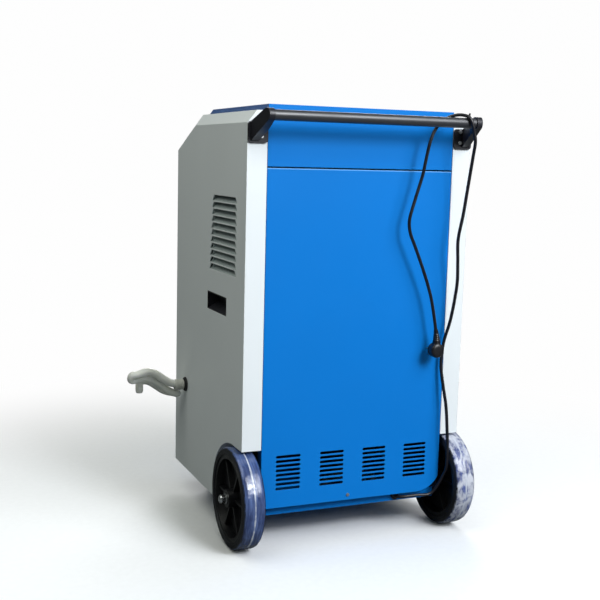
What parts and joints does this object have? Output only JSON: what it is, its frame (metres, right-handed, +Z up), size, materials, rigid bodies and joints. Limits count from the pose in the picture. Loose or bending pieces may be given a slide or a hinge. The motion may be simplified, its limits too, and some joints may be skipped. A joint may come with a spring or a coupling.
{
  "type": "commercial dehumidifier",
  "caption": "Upright wheeled dehumidifier: blue steel casing, pale side covers with louvres, rear push handle, large rear wheels, drain hose and mains cord.",
  "frame": {"origin": "on the floor under the middle of the body", "axes": "+Z up; +Y to the rear, where the push handle is; +X to the machine's right-hand side seen from its front, the side with the drain hose"},
  "size_m": [0.8062, 0.6626, 1.084],
  "materials": {
    "blue_steel": "satin powder coat",
    "cover_paint": "satin light-grey paint",
    "dark_frame": "matt",
    "black_plastic": "fine moulded texture",
    "handle_coating": "satin black powder coat",
    "filter_mesh": "woven mesh in a plastic frame",
    "display_glass": "smoked and polished",
    "circuit_board": "solder mask",
    "button_grey": "matt moulded",
    "zinc_steel": "zinc plated",
    "galvanised": "galvanised sheet",
    "stainless": "stainless sheet",
    "coil_metal": "fins with copper bends",
    "fan_black": "black enamel",
    "rubber_black": "matt",
    "hose_clear": "cloudy translucent vinyl",
    "copper": "copper, slightly dulled",
    "tyre_rubber": "matt black, with protective film on the tread",
    "castor_rubber": "matt",
    "cord_pvc": "satin black sheath"
  },
  "bodies": {
    "machine": {"base_tray": "blue_steel", "chassis_frame": "dark_frame", "wheel_well_right": "dark_frame", "wheel_well_left": "dark_frame", "side_cover_right": "cover_paint", "side_cover_left": "cover_paint", "top_cover": "blue_steel", "front_panel": "blue_steel", "rear_panel": "blue_steel", "rear_panel_screw": "zinc_steel", "control_fascia": "black_plastic", "display_window": "display_glass", "control_board": "circuit_board", "grille_hinges": "zinc_steel", "grille_catches": "zinc_steel", "handle_tube": "handle_coating", "handle_bracket_right": "black_plastic", "handle_bracket_left": "black_plastic", "bracket_screws": "zinc_steel", "grip_cup_right": "black_plastic", "grip_cup_left": "black_plastic", "drain_grommet": "rubber_black", "drain_hose": "hose_clear", "drip_tray": "stainless", "evaporator": "coil_metal", "condenser": "coil_metal", "fan_bulkhead": "galvanised", "fan_inlet_ring": "galvanised", "fan_motor": "fan_black", "motor_mount": "galvanised", "partition_floor": "galvanised", "partition_roof": "galvanised", "control_box": "galvanised", "run_capacitor": "fan_black", "compressor": "fan_black", "compressor_mounts": "rubber_black", "suction_pipe": "copper", "discharge_pipe": "copper", "filter_drier": "copper", "axle": "zinc_steel", "axle_brackets": "dark_frame", "axle_caps": "zinc_steel", "castor_plates": "zinc_steel", "power_cord": "cord_pvc"},
    "wheel_right_body": {"wheel_right": "black_plastic", "tyre_right": "tyre_rubber"},
    "wheel_left_body": {"wheel_left": "black_plastic", "tyre_left": "tyre_rubber"},
    "castor_swivel_right": {"castor_fork_right": "zinc_steel"},
    "castor_swivel_left": {"castor_fork_left": "zinc_steel"},
    "castor_roller_right": {"castor_wheel_right": "castor_rubber"},
    "castor_roller_left": {"castor_wheel_left": "castor_rubber"},
    "fan_rotor": {"fan_impeller": "fan_black"},
    "grille_door": {"intake_grille": "black_plastic", "air_filter": "filter_mesh"},
    "button_power": {"power_button": "button_grey"},
    "button_mode": {"mode_button": "button_grey"},
    "button_up": {"up_button": "button_grey"},
    "button_down": {"down_button": "button_grey"},
    "button_timer": {"timer_button": "button_grey"}
  },
  "joints": [
    {"name": "wheel_right_spin", "type": "hinge", "parent": "machine", "child": "wheel_right_body", "pos_m": [0.2895, 0.235, 0.127], "axis": [1, 0, 0], "continuous": true},
    {"name": "wheel_left_spin", "type": "hinge", "parent": "machine", "child": "wheel_left_body", "pos_m": [-0.2895, 0.235, 0.127], "axis": [1, 0, 0], "continuous": true},
    {"name": "castor_right_swivel", "type": "hinge", "parent": "machine", "child": "castor_swivel_right", "pos_m": [0.2, -0.222, 0.069], "axis": [0, 0, 1], "continuous": true},
    {"name": "castor_left_swivel", "type": "hinge", "parent": "machine", "child": "castor_swivel_left", "pos_m": [-0.2, -0.222, 0.069], "axis": [0, 0, 1], "continuous": true},
    {"name": "castor_right_roll", "type": "hinge", "parent": "castor_swivel_right", "child": "castor_roller_right", "pos_m": [0.2, -0.202, 0.03], "axis": [1, 0, 0], "continuous": true},
    {"name": "castor_left_roll", "type": "hinge", "parent": "castor_swivel_left", "child": "castor_roller_left", "pos_m": [-0.2, -0.202, 0.03], "axis": [1, 0, 0], "continuous": true},
    {"name": "fan_spin", "type": "hinge", "parent": "machine", "child": "fan_rotor", "pos_m": [0, -0.02, 0.766], "axis": [0, 1, 0], "continuous": true},
    {"name": "grille_hinge", "type": "hinge", "parent": "machine", "child": "grille_door", "pos_m": [0, -0.277, 0.352], "axis": [1, 0, 0], "range_deg": [0, 85]},
    {"name": "power_press", "type": "slide", "parent": "machine", "child": "button_power", "axis": [0, 0.3697, -0.9291], "range_m": [0, 0.0012], "stiffness_N_per_m": 400},
    {"name": "mode_press", "type": "slide", "parent": "machine", "child": "button_mode", "axis": [0, 0.3697, -0.9291], "range_m": [0, 0.0012], "stiffness_N_per_m": 400},
    {"name": "up_press", "type": "slide", "parent": "machine", "child": "button_up", "axis": [0, 0.3697, -0.9291], "range_m": [0, 0.0012], "stiffness_N_per_m": 400},
    {"name": "down_press", "type": "slide", "parent": "machine", "child": "button_down", "axis": [0, 0.3697, -0.9291], "range_m": [0, 0.0012], "stiffness_N_per_m": 400},
    {"name": "timer_press", "type": "slide", "parent": "machine", "child": "button_timer", "axis": [0, 0.3697, -0.9291], "range_m": [0, 0.0012], "stiffness_N_per_m": 400}
  ]
}
